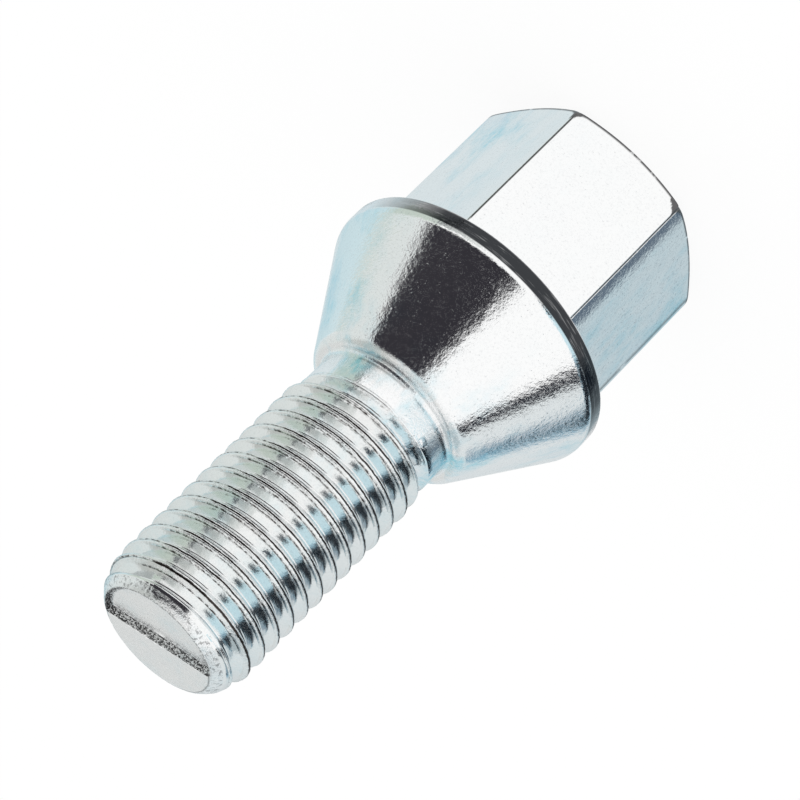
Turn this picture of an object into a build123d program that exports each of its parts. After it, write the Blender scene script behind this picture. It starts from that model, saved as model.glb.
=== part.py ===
from build123d import *
import os
from math import radians, tan

# Cone seat wheel bolt, M12 x 1.5 with a 17 mm hexagon, forged in one piece.
# It stands on the end of its head: the origin is the middle of that face, and +Z runs up
# the axis to the tip of the shank. Sizes are in millimetres and angles in degrees.

# Hexagon of the head, with forged corners and a chamfered free end
across_flats = 17.0
head_height = 14.4
corner_round = 0.6
end_face_inset = 0.55
end_chamfer_angle = 25.0
end_edge_round = 0.3

# Rim between the hexagon and the seat
rim_diameter = 22.6
rim_thickness = 1.4
rim_back_chamfer = 0.2
rim_front_round = 1.2

# Cone seat, and the shoulder by which its small end stands out from the neck
seat_angle = 60.0
shoulder_width = 0.95
shoulder_round = 1.1

# Shank, measured over the crests of its thread
shank_length = 23.9
crest_diameter = 11.8

# Plain neck below the thread, how far it lies under the crests, and the rise out of it
neck_length = 2.6
neck_relief = 0.4
neck_fillet = 0.2
runout_angle = 15.0

# Blunt nose: a lead-in cone that narrows by nose_inset, with a soft edge at each end
nose_length = 2.4
nose_inset = 0.9
nose_round = 0.8

# Step across the nose, where the blank was sheared from its bar
step_depth = 0.42
step_offset = 0.3
step_angle = 25.6
step_wall_lean = 45.0

# How far a cutter starts outside the metal
overshoot = 0.5

# Radii and heights that follow from the sizes above
rim_radius = rim_diameter / 2
end_face_radius = across_flats / 2 - end_face_inset
crest_radius = crest_diameter / 2
neck_radius = crest_radius - neck_relief
seat_end_radius = neck_radius + shoulder_width
nose_face_radius = crest_radius - nose_inset
rim_top = head_height + rim_thickness
seat_height = (rim_radius - seat_end_radius) / tan(radians(seat_angle / 2))
shoulder_top = rim_top + seat_height
neck_top = shoulder_top + neck_length
thread_bottom = neck_top + neck_relief / tan(radians(runout_angle))
tip_height = shoulder_top + shank_length
nose_bottom = tip_height - nose_length


def turned(corners):
    """Solid of revolution about the axis through corners given as radius, height, rounding."""
    points = [(radius, height) for radius, height, rounding in corners]
    roundings = [rounding for radius, height, rounding in corners]
    outline = FilletPolyline(*points, radius=roundings, close=True)
    return revolve(Plane.XZ * make_face(outline), Axis.Z)


def turned_blank():
    """Rim, cone seat, shoulder, neck, threaded length and nose on one axis."""
    return turned(
        [
            (0, head_height, 0),
            (rim_radius - rim_back_chamfer, head_height, 0),
            (rim_radius, head_height + rim_back_chamfer, 0),
            (rim_radius, rim_top, rim_front_round),
            (seat_end_radius, shoulder_top, shoulder_round),
            (neck_radius, shoulder_top, neck_fillet),
            (neck_radius, neck_top, 0),
            (crest_radius, thread_bottom, 0),
            (crest_radius, nose_bottom, nose_round),
            (nose_face_radius, tip_height, nose_round),
            (0, tip_height, 0),
        ]
    )


def hexagon():
    """Hexagon with rounded corners, let into the rim and chamfered at its free end."""
    top = head_height + rim_thickness / 2
    chamfer_rise = (rim_radius - end_face_radius) * tan(radians(end_chamfer_angle))
    outline = RegularPolygon(across_flats / 2, 6, major_radius=False)
    outline = fillet(outline.vertices(), corner_round)
    chamfer_cone = turned(
        [
            (0, 0, 0),
            (end_face_radius, 0, end_edge_round),
            (rim_radius, chamfer_rise, 0),
            (rim_radius, top, 0),
            (0, top, 0),
        ]
    )
    return extrude(outline, top) & chamfer_cone


def shear_step():
    """Cutter for the lower half of the nose's end, with its leaning wall."""
    lean = tan(radians(step_wall_lean))
    reach = crest_radius + overshoot
    floor = tip_height - step_depth
    ceiling = tip_height + overshoot
    section = Polyline(
        (-reach, floor),
        (step_offset - step_depth * lean, floor),
        (step_offset + overshoot * lean, ceiling),
        (-reach, ceiling),
        close=True,
    )
    cutter = extrude(Plane.YZ * make_face(section), reach, both=True)
    return Rot(0, 0, step_angle) * cutter


def lug_bolt():
    return turned_blank() + hexagon() - shear_step()


os.makedirs("parts", exist_ok=True)
export_step(lug_bolt(), "parts/lug_bolt.step")
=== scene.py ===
from math import atan2, cos, degrees, pi, radians, sin, sqrt, tan

import bmesh
import bpy
from mathutils import Matrix, Vector, noise


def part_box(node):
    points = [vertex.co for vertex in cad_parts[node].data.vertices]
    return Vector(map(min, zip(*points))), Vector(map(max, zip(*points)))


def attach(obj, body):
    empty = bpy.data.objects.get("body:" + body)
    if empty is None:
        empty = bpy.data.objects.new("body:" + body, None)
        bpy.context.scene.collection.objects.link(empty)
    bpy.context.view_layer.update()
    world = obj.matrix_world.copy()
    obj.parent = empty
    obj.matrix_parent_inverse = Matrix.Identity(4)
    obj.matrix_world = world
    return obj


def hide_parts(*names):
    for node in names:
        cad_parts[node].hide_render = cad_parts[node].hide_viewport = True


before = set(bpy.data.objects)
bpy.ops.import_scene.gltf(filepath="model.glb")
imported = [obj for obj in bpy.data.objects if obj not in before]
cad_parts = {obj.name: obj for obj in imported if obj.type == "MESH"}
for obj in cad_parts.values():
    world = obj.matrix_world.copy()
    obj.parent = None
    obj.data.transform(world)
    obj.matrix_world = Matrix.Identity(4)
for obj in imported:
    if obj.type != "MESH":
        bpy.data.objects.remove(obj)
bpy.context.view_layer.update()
boltLow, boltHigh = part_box("lug_bolt")
mm = 0.001
fullTurn = 2 * pi

# The bolt's mesh is one closed skin, built ring by ring from the head's end to the tip.
# Sizes are in millimetres and degrees, as in the part.
bolt = {
    "acrossFlats": 17.0,
    "headHeight": 14.4,
    "cornerRound": 0.6,
    "crispRound": 0.3,  # at the two crisp corners
    "crispCorners": (240, 300),
    # one flat sinks softly over its last millimetres and over a small turn past the corner
    "rollOff": {"corner": 240, "reach": 1.8, "turn": 1.2, "drop": 0.17},
    "endFaceInset": 0.55,
    "endFaceRings": (3.0, 5.6, 7.0, 7.7),
    "endChamferAngle": 25.0,
    "edgeSoftness": 0.13,
    "cornerSoftness": 0.3,  # added at the corners, and fading out over the turn below
    "cornerSoftTurn": 4.0,
    "flatRings": (2.0, 4.5, 7.0, 9.5, 12.0),
    "headFillet": 0.3,
    "rimThickness": 1.4,
    "rimBackRing": 0.75,  # from the rim's edge to a ring on its flat back
    "rimBackChamfer": 0.1,
    "rimFrontRound": 1.2,
    "seatAngle": 60.0,
    "shoulderWidth": 0.95,
    "shoulderRound": 1.1,
    "crestRadius": 5.9,
    "neckRelief": 0.4,
    "neckLength": 2.6,
    "neckFillet": (0.31, 0.55),  # its reach outwards and its rise
    "neckRings": (0.8, 1.4),  # heights over the shoulder
    "runoutAngle": 15.0,
    "noseLength": 2.4,
    "noseInset": 0.9,
    "noseWander": 0.06,
    "noseWanderReach": 0.9,  # how far the wander goes in from the nose's face edge
    "tipRings": (0.94, 0.8, 0.64, 0.48, 0.32, 0.16),  # shares of the flat tip's radius
    # soft end of the nose: radius and height from the corner of its cone and its face
    "noseEdge": (
        (0.19, -0.66),
        (0.07, -0.5),
        (-0.06, -0.35),
        (-0.2, -0.21),
        (-0.32, -0.12),
        (-0.42, -0.06),
        (-0.5, -0.02),
        (-0.58, 0.0),
    ),
}

# radii and marks are given at these offsets from the middle of a groove
thread = {
    "pitch": 1.5,
    "grooveHeight": 0.498,  # groove centre over the head's end at angle 0, less whole pitches
    "rootRadius": 4.93,
    "offsets": (0.0, 0.05, 0.1, 0.46, 0.49, 0.53, 0.58, 0.64, 0.69, 0.72, 0.75),
    "radii": (4.93, 4.945, 5.0, 5.624, 5.665, 5.765, 5.835, 5.885, 5.9, 5.87, 5.8),
    "seamDirtAndShade": {0.69: 0.4, 0.72: 1.0, 0.75: 1.0},  # dirt and painted shade on the crests
    "foldShadow": {-0.49: 0.6, -0.53: 0.4, 0.49: 0.55},  # painted shadow in the folds beside them
    "lip": {0.53: 0.5, 0.58: 1.0, 0.64: 1.0, 0.69: 1.0},  # rough metal between the two
    "evenUpTo": 0.6,  # a groove keeps its form up to this offset where the shank narrows
    "startBelowNeck": 0.6,
    "endBelowTip": 0.8,
    "startGap": 0.15,  # the first turn deepens after this gap
    "fadeIn": 0.55,
    "fadeOut": 0.2,  # below the thread's end
    "endGap": 0.25,  # the last turn runs out this far past the end
    "lastFade": 0.6,
    "lipFrom": 0.5,
    "lipBlend": 0.2,
    "lipWander": 0.035,
    "lipRoughness": 0.03,
    "marksPastNose": 1.5,  # seam dirt, painted seam shade, painted fold shadow and lips go this far up the nose
    "marksFade": 0.5,
    # the painted shade of the seams and folds is heaviest on one side: its bearing, the cosine of
    # the turn from it at which it starts to build up, and the share that lies elsewhere
    "seamShadeSide": {"bearing": -112, "from": 0.3, "least": 0.42},
    "foldShadowSide": {"bearing": -90, "from": 0.45, "least": 0.15},
    "sideBlend": 0.3,
    "finishBelowThread": 1.2,  # where the rolled finish takes over from the forged one
    "finishBelowTip": 0.7,
}

# step across the end, where the blank was sheared from its bar; it stops inside the nose's ring
step = {
    "depth": 0.42,
    "offset": 0.3,
    "angle": 25.6,
    "run": 0.42,
    "rows": (-0.04, 0.03, 0.3, 0.6, 0.96, 1.04),  # rows of edges, as shares of the run
    "wander": 0.05,
    "gouge": 4.1,  # the wall is gouged beyond this distance along it
    "ringRadius": 4.6,
    "ringSlope": 0.26,
}

# Dirt, painted shade, painted dark reflections and film on the skin: turns are in degrees,
# heights and depths in millimetres, and the dark marks go from 0 to 1.
markings = {
    "cornerTurn": 0.5,
    "outlineCorner": 180,
    "outlineTurns": (2.0, 2.8),
    "outlineDarkReflection": 0.6,
    "filletTurns": (268, 312),
    "filletHeights": (0.3, 0.5),
    "filletShade": 0.55,
    "noseEdgeDepths": (0.01, 0.05),
    "noseEdgeDark": 0.75,
    "landInset": (0.1, 0.18),
    "shoulderFilmHeight": 0.42,
}

rimRadius = (boltHigh.x - boltLow.x) / 2 / mm
tipHeight = boltHigh.z / mm
endFaceRadius = bolt["acrossFlats"] / 2 - bolt["endFaceInset"]
rimTop = bolt["headHeight"] + bolt["rimThickness"]
neckRadius = bolt["crestRadius"] - bolt["neckRelief"]
seatEndRadius = neckRadius + bolt["shoulderWidth"]
shoulderTop = rimTop + (rimRadius - seatEndRadius) / tan(radians(bolt["seatAngle"] / 2))
neckTop = shoulderTop + bolt["neckLength"]
threadBottom = neckTop + bolt["neckRelief"] / tan(radians(bolt["runoutAngle"]))
noseBottom = tipHeight - bolt["noseLength"]
noseFaceRadius = bolt["crestRadius"] - bolt["noseInset"]


def bounded(value, low=0.0, high=1.0):
    return max(low, min(high, value))


def columnAngles():
    # columns stand close together at the hexagon's corners and even out along its flats
    cornerSteps = [0.0, 0.3, 0.6, 0.9, 1.15, 1.45, 1.8, 2.15, 2.7]
    flatSteps = 11
    half = cornerSteps + [
        cornerSteps[-1] + (30.0 - cornerSteps[-1]) * (i / flatSteps) ** 1.25
        for i in range(1, flatSteps + 1)
    ]
    sector = [-a for a in reversed(half[1:])] + half[:-1]
    return [radians(60 * k + a) for k in range(6) for a in sector]


columns = columnAngles()
columnCount = len(columns)


def hexRadius(angle):
    # distance from the axis to the rounded hexagon's outline
    fromCorner = (degrees(angle) + 30) % 60 - 30
    rollOff = bolt["rollOff"]
    apothem = bolt["acrossFlats"] / 2
    crisp = round(degrees(angle) / 60) * 60 % 360 in bolt["crispCorners"]
    roundness = bolt["crispRound"] if crisp else bolt["cornerRound"]
    centre = (apothem - roundness) / cos(radians(30))
    flat = apothem / cos(radians(30 - abs(fromCorner)))
    reach = centre * sin(radians(fromCorner))
    tangent = degrees(atan2(roundness / 2, centre + roundness * cos(radians(30))))
    sunk = 0.0
    if (degrees(angle) + 30) % 360 // 60 == rollOff["corner"] // 60:
        inset = apothem * (tan(radians(30)) - tan(radians(30 + min(fromCorner, 0))))
        past = fromCorner / rollOff["turn"]
        share = 1 - (inset / rollOff["reach"] if fromCorner < 0 else past)
        sunk = rollOff["drop"] * max(0.0, share) ** 2
    if abs(fromCorner) > tangent:
        return flat - sunk
    return centre * cos(radians(fromCorner)) + sqrt(roundness**2 - reach**2) - sunk


def roundedCorner(before, corner, after, radius, steps):
    # points on the arc that rounds a corner of the profile
    b, c, a = Vector(before), Vector(corner), Vector(after)
    toBefore, toAfter = (b - c).normalized(), (a - c).normalized()
    halfAngle = toBefore.angle(toAfter) / 2
    centre = c + (toBefore + toAfter).normalized() * (radius / sin(halfAngle))
    reach = radius / tan(halfAngle)
    start, end = toBefore * reach + c - centre, toAfter * reach + c - centre
    spread = start.angle(end)
    return [
        tuple(centre + (start * sin(spread * (1 - t)) + end * sin(spread * t)) / sin(spread))
        for t in [i / steps for i in range(steps + 1)]
    ]


class Skin:
    # collects the closed surface's points and faces, with a few marks for the finish
    def __init__(self):
        self.points, self.faces, self.marks = [], [], []

    def add(self, angle, radius, height, marks):
        self.points.append((radius * cos(angle), radius * sin(angle), height))
        self.marks.append(dict(marks))
        return len(self.points) - 1

    def ring(self, profile, **marks):
        # profile gives radius and height, either fixed or for each angle
        row = []
        for angle in columns:
            radius, height = profile(angle) if callable(profile) else profile
            row.append(self.add(angle, radius, height, marks))
        return row

    def join(self, lower, upper):
        for j in range(columnCount):
            k = (j + 1) % columnCount
            self.face(lower[j], lower[k], upper[k], upper[j])

    def face(self, *corners):
        # corners that fell together count once
        kept = []
        for corner in corners:
            if corner not in kept:
                kept.append(corner)
        if len(kept) > 2:
            self.faces.append(kept)


def headRings():
    # end face and chamfer, then the edge with its crowned arcs, then the flats and the fillet
    # to the rim's back
    slope = radians(bolt["endChamferAngle"])

    def softness(angle):
        # the edge of the chamfer is rounder near the hexagon's corners
        fromCorner = abs((degrees(angle) + 30) % 60 - 30)
        nearness = max(0.0, 1 - fromCorner / bolt["cornerSoftTurn"]) ** 2
        return bolt["edgeSoftness"] + bolt["cornerSoftness"] * nearness

    def chamfer(share):
        def at(angle):
            radius = endFaceRadius + share * (hexRadius(angle) - endFaceRadius)
            return radius, (radius - endFaceRadius) * tan(slope)

        return at

    def nearEdge(back, up):
        # back is measured down the chamfer from its outer edge, up is along the flat
        def at(angle):
            outer, soft = hexRadius(angle), softness(angle)
            return (
                outer - back * soft * cos(slope),
                (outer - endFaceRadius) * tan(slope) - back * soft * sin(slope) + up * soft,
            )

        return at

    def onFlat(height):
        return lambda angle: (hexRadius(angle), height)

    def outward(extra, height):
        return lambda angle: (hexRadius(angle) + extra, height)

    endFace = [(radius, 0.0) for radius in bolt["endFaceRings"]]
    endFace += [(endFaceRadius - 0.08, 0.0), (endFaceRadius + 0.02, 0.02), chamfer(0.25)]
    endFace += [nearEdge(2.0, 0), nearEdge(1.0, 0)]
    edge = [nearEdge(0.5, 0.08), nearEdge(0.22, 0.25), nearEdge(0.06, 0.55), nearEdge(0, 1.0)]
    base, fillet = bolt["headHeight"], bolt["headFillet"]
    sides = [nearEdge(0, 2.0)]
    sides += [onFlat(height) for height in (*bolt["flatRings"], base - 2 * fillet)]
    for turn in (0, 30, 60, 90):
        away = fillet * (1 - cos(radians(turn)))
        sides.append(outward(away, base - fillet + fillet * sin(radians(turn))))
    return endFace, edge, sides + [(rimRadius - bolt["rimBackRing"], base)]


def rimAndSeatRings():
    # rim, its land with a painted dark reflection, cone, and the soft shoulder down to the neck
    chamfer, base = bolt["rimBackChamfer"], bolt["headHeight"]
    shadedLand, front = (rimRadius, base + chamfer), (rimRadius, rimTop)
    seatEnd, neck = (seatEndRadius, shoulderTop), (neckRadius, shoulderTop)
    rings = [(rimRadius - chamfer - 0.08, base), (rimRadius - chamfer, base + 0.02)]
    rings += [(rimRadius - 0.03, base + chamfer - 0.03), (rimRadius, base + chamfer + 0.05)]
    rings += roundedCorner(shadedLand, front, seatEnd, bolt["rimFrontRound"], 8)
    low, high = Vector(rings[-1]), Vector(seatEnd)
    rings += [tuple(low.lerp(high, t)) for t in (0.12, 0.3, 0.5, 0.7)]
    rings += roundedCorner(front, seatEnd, neck, bolt["shoulderRound"], 9)
    reach, rise = bolt["neckFillet"]
    for turn in (0, 20, 40, 58, 74, 90):
        away, up = 1 - sin(radians(turn)), 1 - cos(radians(turn))
        rings.append((neckRadius + reach * away, shoulderTop + rise * up))
    return rings + [(neckRadius, shoulderTop + height) for height in bolt["neckRings"]]


def envelope(height):
    # outside of the shank before its thread is rolled
    if height < neckTop:
        return neckRadius
    if height < threadBottom:
        return neckRadius + (height - neckTop) * tan(radians(bolt["runoutAngle"]))
    if height < noseBottom:
        return bolt["crestRadius"]
    return bolt["crestRadius"] - (height - noseBottom) * bolt["noseInset"] / bolt["noseLength"]


def grooveProfile(offset):
    # radius of the full thread at this distance from the groove's middle
    away = abs(offset)
    offsets, radii = thread["offsets"], thread["radii"]
    for i in range(1, len(offsets)):
        if away <= offsets[i]:
            share = (away - offsets[i - 1]) / (offsets[i] - offsets[i - 1])
            return radii[i - 1] + share * (radii[i] - radii[i - 1])
    return radii[-1]


def narrowing(offset, centre):
    # how much narrower the shank is at this groove, blended on the crests to the next one
    crest = thread["pitch"] / 2
    beyond = crest * max(0.0, abs(offset) - thread["evenUpTo"]) / (crest - thread["evenUpTo"])
    return bolt["crestRadius"] - envelope(centre + (beyond if offset > 0 else -beyond))


def grooveFloor(centre, height, bottom, top):
    # the groove deepens along its first turn, keeps its depth where the shank is narrower,
    # and fades out at the nose
    begun = (centre - bottom - thread["startGap"]) / thread["fadeIn"]
    left = (top - height) / thread["fadeOut"]
    lastLeft = (top + thread["endGap"] - centre) / thread["lastFade"]
    share = bounded(min(begun, left, lastLeft))
    shallowest = envelope(height) + 0.02
    return shallowest + (thread["rootRadius"] - bolt["crestRadius"]) * share


def threadSurface(skin, lowerRing, upperRing, bottom, top):
    # a strip whose rows follow the helix and end on the plain rings below and above it
    pitch = thread["pitch"]
    offsets = sorted({-o for o in thread["offsets"][:-1]} | set(thread["offsets"]))
    perTurn = len(offsets)
    first = int((bottom - thread["grooveHeight"]) / pitch) - 2
    turns = int((top - bottom) / pitch) + 5
    margin = 0.03  # a point closer than this to a plain ring falls onto it
    grid = []
    for row in range(turns * perTurn):
        offset = offsets[row % perTurn]
        line = []
        for j, angle in enumerate(columns):
            centre = thread["grooveHeight"] + pitch * (first + row // perTurn + angle / fullTurn)
            height = centre + offset
            if height < bottom + margin:
                line.append(lowerRing[j])
            elif height > top - margin:
                line.append(upperRing[j])
            else:
                line.append(threadPoint(skin, angle, centre, offset, height, bottom, top))
        grid.append(line)
    for row in range(len(grid) - perTurn - 1):
        for j in range(columnCount - 1):
            skin.face(grid[row][j], grid[row][j + 1], grid[row + 1][j + 1], grid[row + 1][j])
        lower, upper = grid[row + perTurn], grid[row + perTurn + 1]
        skin.face(grid[row][-1], lower[0], upper[0], grid[row + 1][-1])


def sideShare(side, angle):
    # how much of the seams' and folds' painted shade lies at this angle
    towards = cos(angle - radians(side["bearing"]))
    return bounded((towards - side["from"]) / thread["sideBlend"], side["least"])


def threadPoint(skin, angle, centre, offset, height, bottom, top):
    # a point of the thread, its rolled lips slightly ragged along the turn
    place = Vector((cos(angle), sin(angle), 0)) * bolt["crestRadius"]
    spot = place + Vector((0, 0, centre if offset < 0 else centre + thread["pitch"]))
    sway = noise.noise(spot * 1.3) + 0.6 * noise.noise(spot * 4.1)
    rough = noise.noise(spot * 7.3 + Vector((0, 0, 9 * offset)))
    nearCrest = bounded((abs(offset) - thread["lipFrom"]) / thread["lipBlend"])
    wander = nearCrest * (thread["lipWander"] * sway + thread["lipRoughness"] * rough)
    sunk = nearCrest * thread["lipRoughness"] * abs(rough + sway)
    floor = grooveFloor(centre, height, bottom, top)
    profile = grooveProfile(offset) - narrowing(offset, centre) - sunk
    radius = min(max(profile, floor), envelope(height))
    # the seams' dirt and painted shade, the painted fold shadow and the lips end on the nose
    amount = bounded((noseBottom + thread["marksPastNose"] - height) / thread["marksFade"])
    # seams carry dirt and painted shade, folds painted shadow, both heaviest on one side
    seamDirtAndShade = thread["seamDirtAndShade"].get(abs(offset), 0.0) * sideShare(thread["seamShadeSide"], angle)
    foldShadow = thread["foldShadow"].get(offset, 0.0) * sideShare(thread["foldShadowSide"], angle)
    lip = thread["lip"].get(abs(offset), 0.0)
    marks = {"seamDirtAndShade": amount * seamDirtAndShade, "foldShadow": amount * foldShadow, "lip": amount * lip}
    return skin.add(angle, radius, height + wander, marks)


def noseRings():
    # soft end of the nose, with two rings at the step's floor, and the face inside it
    arc = [(noseFaceRadius + out, tipHeight + up) for out, up in bolt["noseEdge"]]
    floor = tipHeight - step["depth"]
    rings = [point for point in arc if abs(point[1] - floor) > 0.03]
    below, above = [p for p in rings if p[1] < floor], [p for p in rings if p[1] > floor]
    share = (floor - below[-1][1]) / (above[0][1] - below[-1][1])
    onFloor = below[-1][0] + share * (above[0][0] - below[-1][0]) + 0.01
    rings = below + [(onFloor + 0.01, floor - 0.02), (onFloor, floor)] + above
    inner = above[-1][0]
    return rings + [(inner * inward, tipHeight) for inward in bolt["tipRings"]]


def raggedRing(skin, profile):
    # rings of the nose wander a little, those of the end face stay flat
    row = []
    radius, height = profile
    onEnd = height == tipHeight
    nearest, furthest = markings["noseEdgeDepths"]
    for angle in columns:
        place = Vector((radius * cos(angle), radius * sin(angle), height))
        wander = 0.0
        if radius >= noseFaceRadius - bolt["noseWanderReach"]:
            wander = noise.noise(place * 1.9) + 0.5 * noise.noise(place * 5)
        inward = bolt["noseWander"] * abs(wander)
        marks = {"tip": 1.0} if onEnd else {"nose": 1.0}
        if nearest < tipHeight - height < furthest:
            marks["edge"] = markings["noseEdgeDark"]
        row.append(skin.add(angle, radius - inward, height, marks))
    return row


def markEdges(skin, row, aroundRim):
    # dark lines lie along the rim of the hexagon's chamfer; along its sharp corners, and beside
    # the corner that stands at the outline of the picture, they are painted dark reflections
    for j, angle in enumerate(columns):
        fromCorner = (degrees(angle) + 30) % 60 - 30
        corner = round(degrees(angle) - fromCorner) % 360
        onCorner = abs(fromCorner) < markings["cornerTurn"]
        low, high = markings["outlineTurns"]
        if aroundRim or (corner in bolt["crispCorners"] and onCorner):
            skin.marks[row[j]]["edge"] = 1.0
        elif corner == markings["outlineCorner"] and low < fromCorner < high:
            skin.marks[row[j]]["edge"] = markings["outlineDarkReflection"]


def markFillet(skin, row):
    # painted shade: a rough dark line in the fillet under the shoulder, on the front side alone
    first, last = markings["filletTurns"]
    for j, angle in enumerate(columns):
        if first < degrees(angle) % 360 < last:
            skin.marks[row[j]]["edge"] = markings["filletShade"]


def markAt(height):
    # which mark a ring of the rim, seat or shoulder carries
    back, front = markings["landInset"]
    if bolt["headHeight"] + back < height < rimTop - front:
        return {"shadedLand": 1.0}
    onShoulder = height > shoulderTop - markings["shoulderFilmHeight"]
    return {"shoulder": 1.0} if onShoulder else {}


def buildSkin():
    skin = Skin()
    endFace, edge, sides = headRings()
    rows = [skin.ring(profile) for profile in endFace + edge + sides]
    firstSide = len(endFace) + len(edge)
    for i in range(len(endFace), len(rows) - 1):
        markEdges(skin, rows[i], i < firstSide)
    pole = skin.add(0, 0, 0, {})
    for j in range(columnCount):
        skin.face(pole, rows[0][(j + 1) % columnCount], rows[0][j])
    low, high = markings["filletHeights"]
    for profile in rimAndSeatRings():
        height = profile[1]
        rows.append(skin.ring(profile, **markAt(height)))
        if low < height - shoulderTop < high:
            markFillet(skin, rows[-1])
    bottom, top = neckTop - thread["startBelowNeck"], tipHeight - thread["endBelowTip"]
    rows.append(skin.ring((neckRadius, bottom)))
    for lower, upper in zip(rows, rows[1:]):
        skin.join(lower, upper)
    nose = [skin.ring((envelope(top), top), nose=1.0)]
    threadSurface(skin, rows[-1], nose[0], bottom, top)
    nose += [raggedRing(skin, profile) for profile in noseRings()]
    for lower, upper in zip(nose, nose[1:]):
        skin.join(lower, upper)
    crown = skin.add(0, 0, tipHeight, {"tip": 1.0})
    for j in range(columnCount):
        skin.face(nose[-1][j], nose[-1][(j + 1) % columnCount], crown)
    return skin


def cutStep(mesh):
    # straight rows of edges across the end, then one half of it sinks to the step's floor
    across = Matrix.Rotation(radians(step["angle"]), 3, "Z") @ Vector((0, 1, 0))
    body = bmesh.new()
    body.from_mesh(mesh)
    floor = tipHeight - step["depth"]
    for share in step["rows"]:
        place = across * (step["offset"] - step["run"] * share)
        near = [f for f in body.faces if min(v.co.z for v in f.verts) > floor - 0.03]
        edges = {e for f in near for e in f.edges}
        corners = {v for f in near for v in f.verts}
        parts = [*near, *edges, *corners]
        bmesh.ops.bisect_plane(body, geom=parts, dist=1e-4, plane_co=place, plane_no=across)
    torn = body.verts.layers.float["torn"]
    for v in body.verts:
        if v.co.z < floor - 0.001:
            continue
        away = v.co.dot(across) - step["offset"]
        lengthwise = v.co.cross(across).z
        ragged = step["wander"] * noise.noise(Vector((lengthwise * 2.2, 3.0, 1.0)))
        share = bounded(-(away + ragged) / step["run"])
        share *= bounded((step["ringRadius"] - v.co.xy.length) / step["ringSlope"])
        v.co.z = min(v.co.z, tipHeight - step["depth"] * share)
        # the wall is torn, and torn deeper where it is gouged
        if 0.02 <= share <= 0.98:
            v[torn] = 2.0 if lengthwise > step["gouge"] else 1.0
    body.to_mesh(mesh)
    body.free()


def boltObject():
    skin = buildSkin()
    mesh = bpy.data.meshes.new("forgedBolt")
    mesh.from_pydata(skin.points, [], skin.faces)
    for name in ("seamDirtAndShade", "foldShadow", "lip", "shadedLand", "edge", "shoulder", "tip", "nose", "torn"):
        layer = mesh.attributes.new(name, "FLOAT", "POINT")
        layer.data.foreach_set("value", [marks.get(name, 0.0) for marks in skin.marks])
    cutStep(mesh)
    mesh.transform(Matrix.Scale(mm, 4))
    mesh.validate()
    mesh.shade_smooth()
    first = threadBottom - thread["finishBelowThread"]
    last = tipHeight - thread["finishBelowTip"]
    for polygon in mesh.polygons:
        rolled = first < polygon.center.z / mm < last
        polygon.material_index = 1 if rolled else 0
    made = bpy.data.objects.new("zinc_plated_bolt", mesh)
    bpy.context.scene.collection.objects.link(made)
    return made


# Node helpers and the textures that both finishes share


def newGroup(name, inputs, outputs):
    group = bpy.data.node_groups.new(name, "ShaderNodeTree")
    for kind, label, value in inputs:
        socket = group.interface.new_socket(label, in_out="INPUT", socket_type=kind)
        socket.default_value = value
    for kind, label in outputs:
        group.interface.new_socket(label, in_out="OUTPUT", socket_type=kind)
    return group, group.nodes.new("NodeGroupInput"), group.nodes.new("NodeGroupOutput")


def mathNode(tree, operation, a, b=None, clamp=False):
    node = tree.nodes.new("ShaderNodeMath")
    node.operation, node.use_clamp = operation, clamp
    for i, value in enumerate((a, b)):
        if isinstance(value, (int, float)):
            node.inputs[i].default_value = value
        elif value is not None:
            tree.links.new(value, node.inputs[i])
    return node.outputs[0]


def rangeNode(tree, value, low, high, newLow=0.0, newHigh=1.0):
    node = tree.nodes.new("ShaderNodeMapRange")
    tree.links.new(value, node.inputs["Value"])
    node.inputs["From Min"].default_value = low
    node.inputs["From Max"].default_value = high
    node.inputs["To Min"].default_value = newLow
    node.inputs["To Max"].default_value = newHigh
    return node.outputs["Result"]


def mixColour(tree, factor, a, b):
    node = tree.nodes.new("ShaderNodeMix")
    node.data_type = "RGBA"
    for socket, value in ((node.inputs[0], factor), (node.inputs[6], a), (node.inputs[7], b)):
        if isinstance(value, (int, float, tuple)):
            socket.default_value = value
        else:
            tree.links.new(value, socket)
    return node.outputs[2]


def noiseNode(tree, vector, scale, detail=2.0, roughness=0.5):
    node = tree.nodes.new("ShaderNodeTexNoise")
    tree.links.new(vector, node.inputs["Vector"])
    node.inputs["Scale"].default_value = scale
    node.inputs["Detail"].default_value = detail
    node.inputs["Roughness"].default_value = roughness
    return node.outputs["Fac"]


def attributeNode(tree, name):
    node = tree.nodes.new("ShaderNodeAttribute")
    node.attribute_name = name
    return node.outputs["Fac"]


def millimetres(tree):
    # object coordinates in millimetres, so that a texture's scale is its count per millimetre
    place = tree.nodes.new("ShaderNodeTexCoord")
    scale = tree.nodes.new("ShaderNodeVectorMath")
    scale.operation = "SCALE"
    scale.inputs["Scale"].default_value = 1 / mm
    tree.links.new(place.outputs["Object"], scale.inputs[0])
    return scale.outputs[0]


def stretched(tree, place, factors):
    node = tree.nodes.new("ShaderNodeVectorMath")
    node.operation = "MULTIPLY"
    tree.links.new(place, node.inputs[0])
    node.inputs[1].default_value = factors
    return node.outputs[0]


def along(tree, place, bearing):
    # how far a place lies out from the axis towards a bearing
    node = tree.nodes.new("ShaderNodeVectorMath")
    node.operation = "DOT_PRODUCT"
    tree.links.new(place, node.inputs[0])
    node.inputs[1].default_value = (cos(radians(bearing)), sin(radians(bearing)), 0)
    return node.outputs["Value"]


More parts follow.
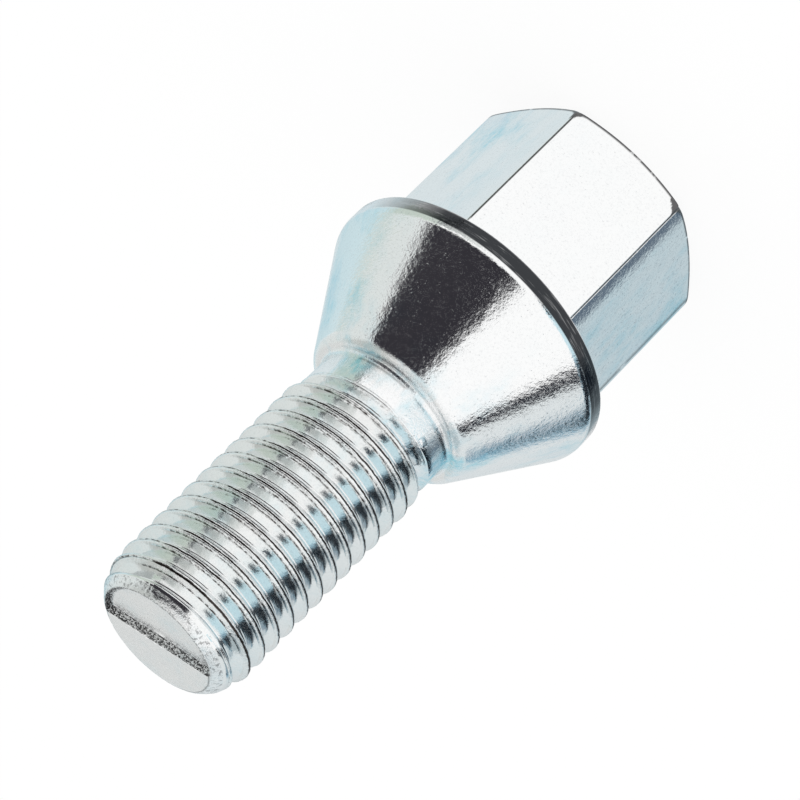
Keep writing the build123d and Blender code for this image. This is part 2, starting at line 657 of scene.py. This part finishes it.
def passivateFilm():
    # thin blue passivate over the zinc, in streaky clouds of cyan and some violet
    group, start, end = newGroup(
        "passivateFilm",
        [
            ("NodeSocketVector", "Place", (0, 0, 0)),
            ("NodeSocketColor", "Zinc", (0.97, 0.975, 0.975, 1)),
            ("NodeSocketColor", "Film", (0.6, 0.85, 0.92, 1)),
            ("NodeSocketColor", "Second Film", (0.85, 0.85, 0.95, 1)),
            ("NodeSocketFloat", "Amount", 0.5),
        ],
        [("NodeSocketColor", "Colour")],
    )
    place = start.outputs["Place"]
    streaky = stretched(group, place, (1.0, 1.0, 0.45))
    broad = rangeNode(group, noiseNode(group, streaky, 0.3, 4.0, 0.6), 0.45, 0.7)
    fine = rangeNode(group, noiseNode(group, streaky, 2.2, 4.0, 0.7), 0.32, 0.7, 0.25, 1.3)
    spread = mathNode(group, "MULTIPLY", broad, fine, clamp=True)
    factor = mathNode(group, "MULTIPLY", spread, start.outputs["Amount"], clamp=True)
    violet = rangeNode(group, noiseNode(group, place, 0.35, 1.0), 0.5, 0.7, 0.0, 0.6)
    film = mixColour(group, violet, start.outputs["Film"], start.outputs["Second Film"])
    colour = mixColour(group, factor, start.outputs["Zinc"], film)
    speckle = rangeNode(group, noiseNode(group, place, 6.5, 3.0, 0.7), 0.5, 0.68, 0.0, 0.16)
    colour = mixColour(group, speckle, colour, (0.45, 0.47, 0.5, 1))
    group.links.new(colour, end.inputs["Colour"])
    return group


def forgedSkin():
    # orange peel from the forging die, with fine pits
    group, start, end = newGroup(
        "forgedSkin",
        [
            ("NodeSocketVector", "Place", (0, 0, 0)),
            ("NodeSocketFloat", "Peel", 1.0),
            ("NodeSocketFloat", "Pits", 1.0),
        ],
        [("NodeSocketFloat", "Height"), ("NodeSocketFloat", "Pit Mask")],
    )
    place = start.outputs["Place"]
    broad = noiseNode(group, place, 0.9, 1.0)
    peel = noiseNode(group, place, 3.2, 2.5, 0.6)
    both = mathNode(group, "ADD", peel, mathNode(group, "MULTIPLY", broad, 1.2))
    fine = mathNode(group, "MULTIPLY", noiseNode(group, place, 7.5, 2.0, 0.6), 0.4)
    both = mathNode(group, "ADD", both, fine)
    both = mathNode(group, "MULTIPLY", both, start.outputs["Peel"])
    pit = rangeNode(group, noiseNode(group, place, 6.5, 1.5, 0.6), 0.7, 0.78)
    pit = mathNode(group, "MULTIPLY", pit, start.outputs["Pits"], clamp=True)
    height = mathNode(group, "SUBTRACT", both, mathNode(group, "MULTIPLY", pit, 0.35))
    group.links.new(height, end.inputs["Height"])
    group.links.new(pit, end.inputs["Pit Mask"])
    return group


def newMaterial(name):
    material = bpy.data.materials.new(name)
    material.use_nodes = True
    tree = material.node_tree
    shader = tree.nodes["Principled BSDF"]
    shader.inputs["Metallic"].default_value = 1.0
    return material, tree, shader


def filmColour(tree, filmGroup, place, look):
    node = tree.nodes.new("ShaderNodeGroup")
    node.node_tree = filmGroup
    tree.links.new(place, node.inputs["Place"])
    node.inputs["Zinc"].default_value = look["zinc"]
    node.inputs["Film"].default_value = look["film"]
    node.inputs["Second Film"].default_value = look["secondFilm"]
    # the film is thin on the front flat and on the tip, and thick elsewhere; on the front this
    # paints that side lighter, painted light
    forward, flat = along(tree, place, -90), bolt["acrossFlats"] / 2
    amount = rangeNode(tree, forward, flat - 0.1, 3.5, look["leastFilm"], look["mostFilm"])
    ends = mathNode(tree, "MAXIMUM", attributeNode(tree, "tip"), attributeNode(tree, "nose"))
    covered = rangeNode(tree, ends, 0.0, 1.0, 1.0, 0.25)
    amount = mathNode(tree, "MULTIPLY", amount, covered)
    extra = mathNode(tree, "MULTIPLY", attributeNode(tree, "shoulder"), look["shoulderFilm"])
    tree.links.new(mathNode(tree, "ADD", amount, extra), node.inputs["Amount"])
    return node.outputs["Colour"]


def surfaceHeight(tree, peelGroup, place, look):
    node = tree.nodes.new("ShaderNodeGroup")
    node.node_tree = peelGroup
    tree.links.new(place, node.inputs["Place"])
    node.inputs["Peel"].default_value = look["peel"]
    node.inputs["Pits"].default_value = look["pits"]
    return node.outputs["Height"], node.outputs["Pit Mask"]


def bumpNode(tree, height, distance, shader):
    bump = tree.nodes.new("ShaderNodeBump")
    bump.inputs["Distance"].default_value = distance * mm
    tree.links.new(height, bump.inputs["Height"])
    tree.links.new(bump.outputs["Normal"], shader.inputs["Normal"])


forgedLook = {
    "zinc": (0.97, 0.975, 0.975, 1),
    "film": (0.42, 0.77, 0.88, 1),
    "secondFilm": (0.82, 0.85, 0.93, 1),
    "leastFilm": 0.03,
    "mostFilm": 0.9,
    "shadedLand": (0.048, 0.051, 0.056, 1),
    "landShadeBearing": -105,  # middle of the stretch where the rim's land is painted dark, a painted reflection
    "landShadeReach": (1.0, 7.5),  # the painted dark fades in between these distances from the axis
    "landShadeNoise": (1.6, 3.0, 0.6),  # every noise has its scale, detail and roughness
    # colour of the dirt and of the painted shade and painted reflections along the edges
    "dirtAndShade": (0.04, 0.038, 0.04, 1),
    "streakNoise": (1.5, 3.0, 0.7),
    "grainNoise": (8.0, 3.0, 0.65),
    "scuffNoise": (3.5, 4.0, 0.7),
    "scuffDirt": 0.55,
    "pitDirt": 0.2,
    "wedgeSizes": (1.55, 1.2),
    "wedgeEnd": 2.6,  # the wedges end at this height
    "smoothest": 0.075,
    "roughest": 0.125,
    "shoulderRoughness": 0.14,
    "tipRoughness": 0.1,
    "speckNoise": (5.5, 3.0, 0.7),
    "speckRoughness": 0.15,
    "shoulderFilm": 0.5,
    "edgeTint": (0.93, 0.94, 0.95, 1),
    "peel": 1.0,
    "pits": 0.8,
    "peelHeight": 0.017,
    "tornGrain": 4.0,  # how strongly the grain stands out on the torn wall and on the nose
    "noseGrain": 1.6,
}


def cornerWedges(tree, place, streak):
    # rough dark wedges on the front flat, where its two sharp corners meet the chamfer
    split = tree.nodes.new("ShaderNodeSeparateXYZ")
    tree.links.new(place, split.inputs[0])
    side, height = split.outputs["X"], split.outputs["Z"]
    flat, end = bolt["acrossFlats"] / 2, forgedLook["wedgeEnd"]
    halfWidth = flat * tan(radians(30))
    fromCorner = mathNode(tree, "SUBTRACT", halfWidth, mathNode(tree, "ABSOLUTE", side))
    fromEnd = rangeNode(tree, height, 0.8, end - 0.4)
    reach = mathNode(tree, "ADD", fromCorner, mathNode(tree, "ADD", fromEnd, streak))
    size = rangeNode(tree, side, -1, 1, *forgedLook["wedgeSizes"])
    wedge = rangeNode(tree, mathNode(tree, "SUBTRACT", size, reach), 0.0, 0.12, 0.0, 0.9)
    onFlat = rangeNode(tree, along(tree, place, -90), flat - 0.26, flat - 0.2)
    atEnd = rangeNode(tree, height, end, end - 0.4)
    return mathNode(tree, "MULTIPLY", wedge, mathNode(tree, "MULTIPLY", onFlat, atEnd))


def forgedDirtAndShade(tree, place, pit, grain):
    # dark fillings: the torn wall, scuffs on the nose, wedges, pits and dark lines at the edges,
    # which at the sharp corners, beside the outline corner and in the fillet are painted
    # reflections and painted shade
    look = forgedLook
    torn = attributeNode(tree, "torn")
    wall = mathNode(tree, "MULTIPLY", torn, rangeNode(tree, grain, 0.44, 0.53, 0.0, 0.95))
    gouge = mathNode(tree, "SUBTRACT", torn, 1.0, clamp=True)
    gouge = mathNode(tree, "MULTIPLY", gouge, rangeNode(tree, grain, 0.4, 0.5, 0.3, 1.0))
    streak = noiseNode(tree, stretched(tree, place, (1.0, 1.0, 0.4)), *look["streakNoise"])
    broken = rangeNode(tree, streak, 0.28, 0.42, 0.0, 0.9)
    # dark lines at the edges: painted reflections at the corners, painted shade in the fillet
    edge = mathNode(tree, "MULTIPLY", attributeNode(tree, "edge"), broken)
    scuffs = noiseNode(tree, place, *look["scuffNoise"])
    scuffs = rangeNode(tree, scuffs, 0.53, 0.61, 0.0, look["scuffDirt"])
    scuffs = mathNode(tree, "MULTIPLY", scuffs, attributeNode(tree, "nose"))
    dirtAndShade = mathNode(tree, "MAXIMUM", wall, gouge)
    for filling in (edge, scuffs, cornerWedges(tree, place, streak)):
        dirtAndShade = mathNode(tree, "MAXIMUM", dirtAndShade, filling)
    inPits = mathNode(tree, "MULTIPLY", pit, look["pitDirt"])
    return mathNode(tree, "MAXIMUM", dirtAndShade, inPits, clamp=True)


def forgedZinc(filmGroup, peelGroup):
    # the head, the cone and both ends
    look = forgedLook
    material, tree, shader = newMaterial("forgedZinc")
    place = millimetres(tree)
    colour = filmColour(tree, filmGroup, place, look)
    height, pit = surfaceHeight(tree, peelGroup, place, look)
    torn, tip = attributeNode(tree, "torn"), attributeNode(tree, "tip")
    shoulder, nose = attributeNode(tree, "shoulder"), attributeNode(tree, "nose")
    grain = noiseNode(tree, place, *look["grainNoise"])
    # painted dark reflection: the rim's land is darkened towards the front, in fine lines
    reach = rangeNode(tree, along(tree, place, look["landShadeBearing"]), *look["landShadeReach"])
    lines = noiseNode(tree, stretched(tree, place, (0.25, 0.25, 5.0)), *look["landShadeNoise"])
    shadedLand = mathNode(tree, "MULTIPLY", reach, rangeNode(tree, lines, 0.36, 0.44, 0.82, 1.0))
    shadedLand = mathNode(tree, "MULTIPLY", shadedLand, attributeNode(tree, "shadedLand"), clamp=True)
    colour = mixColour(tree, shadedLand, colour, look["shadedLand"])
    colour = mixColour(tree, forgedDirtAndShade(tree, place, pit, grain), colour, look["dirtAndShade"])
    tree.links.new(colour, shader.inputs["Base Color"])
    clouds = noiseNode(tree, place, 0.8, 3.0)
    rough = rangeNode(tree, clouds, 0.35, 0.65, look["smoothest"], look["roughest"])
    for mask, amount in ((shoulder, look["shoulderRoughness"]), (tip, look["tipRoughness"])):
        rough = mathNode(tree, "ADD", rough, mathNode(tree, "MULTIPLY", mask, amount), clamp=True)
    # tiny dull specks, which show where the plating reflects something dark
    specks = noiseNode(tree, place, *look["speckNoise"])
    specks = rangeNode(tree, specks, 0.5, 0.66, 0.0, look["speckRoughness"])
    tree.links.new(mathNode(tree, "ADD", rough, specks), shader.inputs["Roughness"])
    for mask, strength in ((torn, look["tornGrain"]), (nose, look["noseGrain"])):
        coarse = mathNode(tree, "MULTIPLY", mathNode(tree, "MULTIPLY", mask, grain), strength)
        height = mathNode(tree, "ADD", height, coarse)
    bumpNode(tree, height, look["peelHeight"], shader)
    shader.inputs["Specular Tint"].default_value = look["edgeTint"]
    return material


rolledLook = {
    "zinc": (0.95, 0.955, 0.95, 1),
    "film": (0.62, 0.84, 0.9, 1),
    "secondFilm": (0.8, 0.86, 0.78, 1),
    "leastFilm": 0.15,
    "mostFilm": 0.35,
    "seamDirtAndShade": (0.055, 0.045, 0.043, 1),
    "raggedNoise": (3.0, 4.0, 0.75),
    "lipNoise": (4.5, 3.0, 0.7),
    "smoothest": 0.09,
    "roughest": 0.14,
    "shoulderFilm": 0.0,
    "edgeTint": (0.85, 0.86, 0.87, 1),
    "peel": 0.7,
    "pits": 0.5,
    "streakHeight": 0.01,
    "lipHeight": 4.0,
}


def rolledZinc(filmGroup, peelGroup):
    # the thread, with dirt and painted shade in the seams that rolling leaves along its crests,
    # and painted shadow in the folds beside them
    look = rolledLook
    material, tree, shader = newMaterial("rolledZinc")
    place = millimetres(tree)
    colour = filmColour(tree, filmGroup, place, look)
    height = surfaceHeight(tree, peelGroup, place, look)[0]
    ragged = noiseNode(tree, place, *look["raggedNoise"])
    ragged = rangeNode(tree, ragged, 0.3, 0.6, -0.2, 0.3)
    # the seams' dirt and painted shade and the folds' painted shadow darken the colour
    mask = mathNode(tree, "MAXIMUM", attributeNode(tree, "seamDirtAndShade"), attributeNode(tree, "foldShadow"))
    dirtAndShade = rangeNode(tree, mathNode(tree, "ADD", mask, ragged), 0.4, 0.75)
    tree.links.new(mixColour(tree, dirtAndShade, colour, look["seamDirtAndShade"]), shader.inputs["Base Color"])
    # rough lips on both sides of the seam
    grain = noiseNode(tree, stretched(tree, place, (1.0, 1.0, 2.0)), *look["lipNoise"])
    lips = mathNode(tree, "MULTIPLY", attributeNode(tree, "lip"), grain)
    lips = mathNode(tree, "MULTIPLY", lips, look["lipHeight"])
    height = mathNode(tree, "ADD", height, lips)
    clouds = noiseNode(tree, place, 1.2, 3.0)
    rough = rangeNode(tree, clouds, 0.35, 0.65, look["smoothest"], look["roughest"])
    tree.links.new(rough, shader.inputs["Roughness"])
    bumpNode(tree, height, look["streakHeight"], shader)
    shader.inputs["Specular Tint"].default_value = look["edgeTint"]
    return material


# The studio is a white room. Soft-edged cards in it, seen only by the plating, give the
# reflections. Each has its stretch of bearing and of height and the softness of its edge, in
# degrees as seen from the bolt, then its colour. A later card lies in front of an earlier one.
studioCards = {
    "overhead": ((0, 360), (66, 90), 4, (0.78, 0.78, 0.77)),
    "underneath": ((0, 360), (-90, -66), 4, (0.4, 0.4, 0.41)),
    "leftHigh": ((-34, 66), (38, 69), 4, (0.5, 0.52, 0.5)),
    "leftPale": ((-16, 90), (4, 42), 4, (0.72, 0.76, 0.75)),
    "leftGreen": ((-29, 34), (-36, 8), 3, (0.56, 0.63, 0.57)),
    "leftCyan": ((12, 90), (-24, 6), 5, (0.61, 0.76, 0.8)),
    "leftLow": ((10, 84), (-62, -20), 4, (0.73, 0.8, 0.82)),
    "leftFade": ((-66, -20), (-26, 3), 6, (0.75, 0.77, 0.76)),
    "leftFadeEnd": ((-54, -20), (-26, 3), 8, (0.5, 0.52, 0.51)),
    "leftLine": ((-33, -24), (-46, 0), 2.5, (0.1, 0.11, 0.12)),
    "rightPale": ((80, 190), (-30, 42), 6, (0.74, 0.78, 0.79)),
    "rightLow": ((108, 192), (-62, -18), 5, (0.54, 0.64, 0.68)),
    "endGrey": ((62, 112), (12, 46), 5, (0.69, 0.7, 0.69)),
    "backHigh": ((112, 176), (36, 61), 5, (0.42, 0.48, 0.5)),
    "rightBlue": ((-166, -118), (-27, 2), 3, (0.6, 0.79, 0.86)),
    "rightSpot": ((-128, -109), (-19, -7), 2.5, (0.015, 0.03, 0.045)),
    "rightBand": ((142, 162), (-6, 13), 6, (0.4, 0.45, 0.5)),
    "edgeLine": ((-180, -167), (3, 34), 1.2, (0.01, 0.011, 0.02)),
    "rightHalo": ((137, 204), (-24, 7), 4, (0.3, 0.46, 0.56)),
    "rightDark": ((144, 198), (-20, 4), 3, (0.012, 0.016, 0.022)),
    "rightDarkLow": ((161, 200), (-25, -8), 3, (0.012, 0.016, 0.022)),
    "cornerShade": ((158, 184), (-40, -23), 3, (0.11, 0.15, 0.2)),
    "frontDark": ((-98, -14), (8, 62), 4, (0.033, 0.031, 0.038)),
}
studio = {
    "cardDistance": 0.9,
    "cardSpacing": 0.006,
    "cardSteps": 24,
    "floorRadius": 1.6,
    "floorSides": 64,
    "floorShade": 0.98,
    "floorGlow": 0.88,
    "lampBearing": -135,
    "lampHeight": 32,
    "lampDistance": 0.8,
    "lampSize": 0.5,
    "lampBrightness": 0.96,
}
camera = {
    "location": (-11.285, -227.438, 142.555),  # in millimetres, its turn in degrees
    "turn": (-53.335, 38.702, -157.852),
    "lens": 167.87,
    "sensor": 36.0,
}


def direction(bearing, height):
    b, h = radians(bearing), radians(height)
    return Vector((cos(b) * cos(h), sin(b) * cos(h), sin(h)))


def emptyMaterial(name):
    material = bpy.data.materials.new(name)
    material.use_nodes = True
    tree = material.node_tree
    tree.nodes.clear()
    return material, tree, tree.nodes.new("ShaderNodeOutputMaterial")


def cardMaterial(name, colour):
    # a glow that fades out towards the card's edges
    material, tree, out = emptyMaterial(name)
    glow = tree.nodes.new("ShaderNodeEmission")
    glow.inputs["Color"].default_value = (*colour, 1)
    clear = tree.nodes.new("ShaderNodeBsdfTransparent")
    mix = tree.nodes.new("ShaderNodeMixShader")
    tree.links.new(attributeNode(tree, "cover"), mix.inputs[0])
    tree.links.new(clear.outputs[0], mix.inputs[1])
    tree.links.new(glow.outputs[0], mix.inputs[2])
    tree.links.new(mix.outputs[0], out.inputs["Surface"])
    return material


def coverage(share, span, softness):
    # 0 at both ends of the span, rising to 1 over the softness
    depth = bounded(min(share, 1 - share) * span / softness)
    return depth * depth * (3 - 2 * depth)


def studioCard(name, distance, bearings, heights, softness, colour):
    # a curved card, seen only in the reflections
    steps = studio["cardSteps"]
    middle = Vector((0, 0, tipHeight * mm / 2))
    whole = bearings[1] - bearings[0] == 360
    capped = max(abs(heights[0]), abs(heights[1])) == 90
    width = (bearings[1] - bearings[0]) * cos(radians(sum(heights) / 2))
    tall = heights[1] - heights[0]
    points, cover = [], []
    for k in range(steps + 1):
        for i in range(steps + 1):
            u, v = i / steps, k / steps
            bearing = bearings[0] + (bearings[1] - bearings[0]) * u
            height = heights[0] + tall * v
            points.append(middle + direction(bearing, height) * distance)
            sideways = 1.0 if whole else coverage(u, width, softness)
            upwards = coverage(v, tall, softness)
            if capped:
                # a card that reaches straight up or down has no edge there
                fromRim = 1 - v if heights[0] == -90 else v
                upwards = coverage(fromRim / 2, 2 * tall, softness)
            cover.append(sideways * upwards)
    faces = []
    for k in range(steps):
        for i in range(steps):
            first = i + k * (steps + 1)
            faces.append((first, first + 1, first + steps + 2, first + steps + 1))
    mesh = bpy.data.meshes.new(name)
    mesh.from_pydata(points, [], faces)
    mesh.attributes.new("cover", "FLOAT", "POINT").data.foreach_set("value", cover)
    mesh.materials.append(cardMaterial(name, colour))
    card = bpy.data.objects.new(name, mesh)
    bpy.context.scene.collection.objects.link(card)
    card.visible_camera = card.visible_diffuse = card.visible_shadow = False


def buildFloor():
    # white to the camera, yet it keeps the bolt's soft shadow
    material, tree, out = emptyMaterial("paleFloor")
    shade = studio["floorShade"]
    plain = tree.nodes.new("ShaderNodeBsdfDiffuse")
    plain.inputs["Color"].default_value = (shade, shade, shade, 1)
    glow = tree.nodes.new("ShaderNodeEmission")
    mix = tree.nodes.new("ShaderNodeMixShader")
    mix.inputs[0].default_value = studio["floorGlow"]
    tree.links.new(plain.outputs[0], mix.inputs[1])
    tree.links.new(glow.outputs[0], mix.inputs[2])
    tree.links.new(mix.outputs[0], out.inputs["Surface"])
    mesh = bpy.data.meshes.new("floor")
    radius = studio["floorRadius"]
    turns = [fullTurn * i / studio["floorSides"] for i in range(studio["floorSides"])]
    edge = [(radius * cos(turn), radius * sin(turn), 0) for turn in turns]
    mesh.from_pydata(edge, [], [list(range(len(edge)))])
    mesh.materials.append(material)
    floor = bpy.data.objects.new("floor", mesh)
    bpy.context.scene.collection.objects.link(floor)
    floor.visible_glossy = False  # the plating sees the white room below it as well


def buildStudio():
    scene = bpy.context.scene
    world = bpy.data.worlds.new("whiteRoom")
    world.use_nodes = True
    background = world.node_tree.nodes["Background"]
    background.inputs["Color"].default_value = (1, 1, 1, 1)
    background.inputs["Strength"].default_value = 1.0
    scene.world = world
    distance = studio["cardDistance"]
    for name, (bearings, heights, softness, colour) in studioCards.items():
        studioCard(name, distance, bearings, heights, softness, colour)
        distance -= studio["cardSpacing"]
    buildFloor()
    lamp = bpy.data.lights.new("softbox", "AREA")
    lamp.shape, lamp.size = "SQUARE", studio["lampSize"]
    lamp.energy = studio["lampBrightness"] * pi * studio["lampSize"] ** 2
    holder = bpy.data.objects.new("softbox", lamp)
    away = direction(studio["lampBearing"], studio["lampHeight"])
    holder.location = away * studio["lampDistance"]
    holder.rotation_euler = away.to_track_quat("Z", "Y").to_euler()
    holder.visible_glossy = False  # the plating sees the white room alone
    scene.collection.objects.link(holder)


def buildCamera():
    data = bpy.data.cameras.new("camera")
    data.lens = camera["lens"]
    data.sensor_width = camera["sensor"]
    data.clip_start, data.clip_end = 0.01, 10.0
    holder = bpy.data.objects.new("camera", data)
    holder.location = Vector(camera["location"]) * mm
    holder.rotation_euler = [radians(a) for a in camera["turn"]]
    bpy.context.scene.collection.objects.link(holder)
    bpy.context.scene.camera = holder


boltPiece = boltObject()
print("bolt:", len(boltPiece.data.polygons), "faces")
filmGroup, peelGroup = passivateFilm(), forgedSkin()
boltPiece.data.materials.append(forgedZinc(filmGroup, peelGroup))
boltPiece.data.materials.append(rolledZinc(filmGroup, peelGroup))
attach(boltPiece, "root")
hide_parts("lug_bolt")
print("finishes done")
buildStudio()
buildCamera()
bpy.context.scene.view_settings.view_transform = "Standard"
print("studio done")
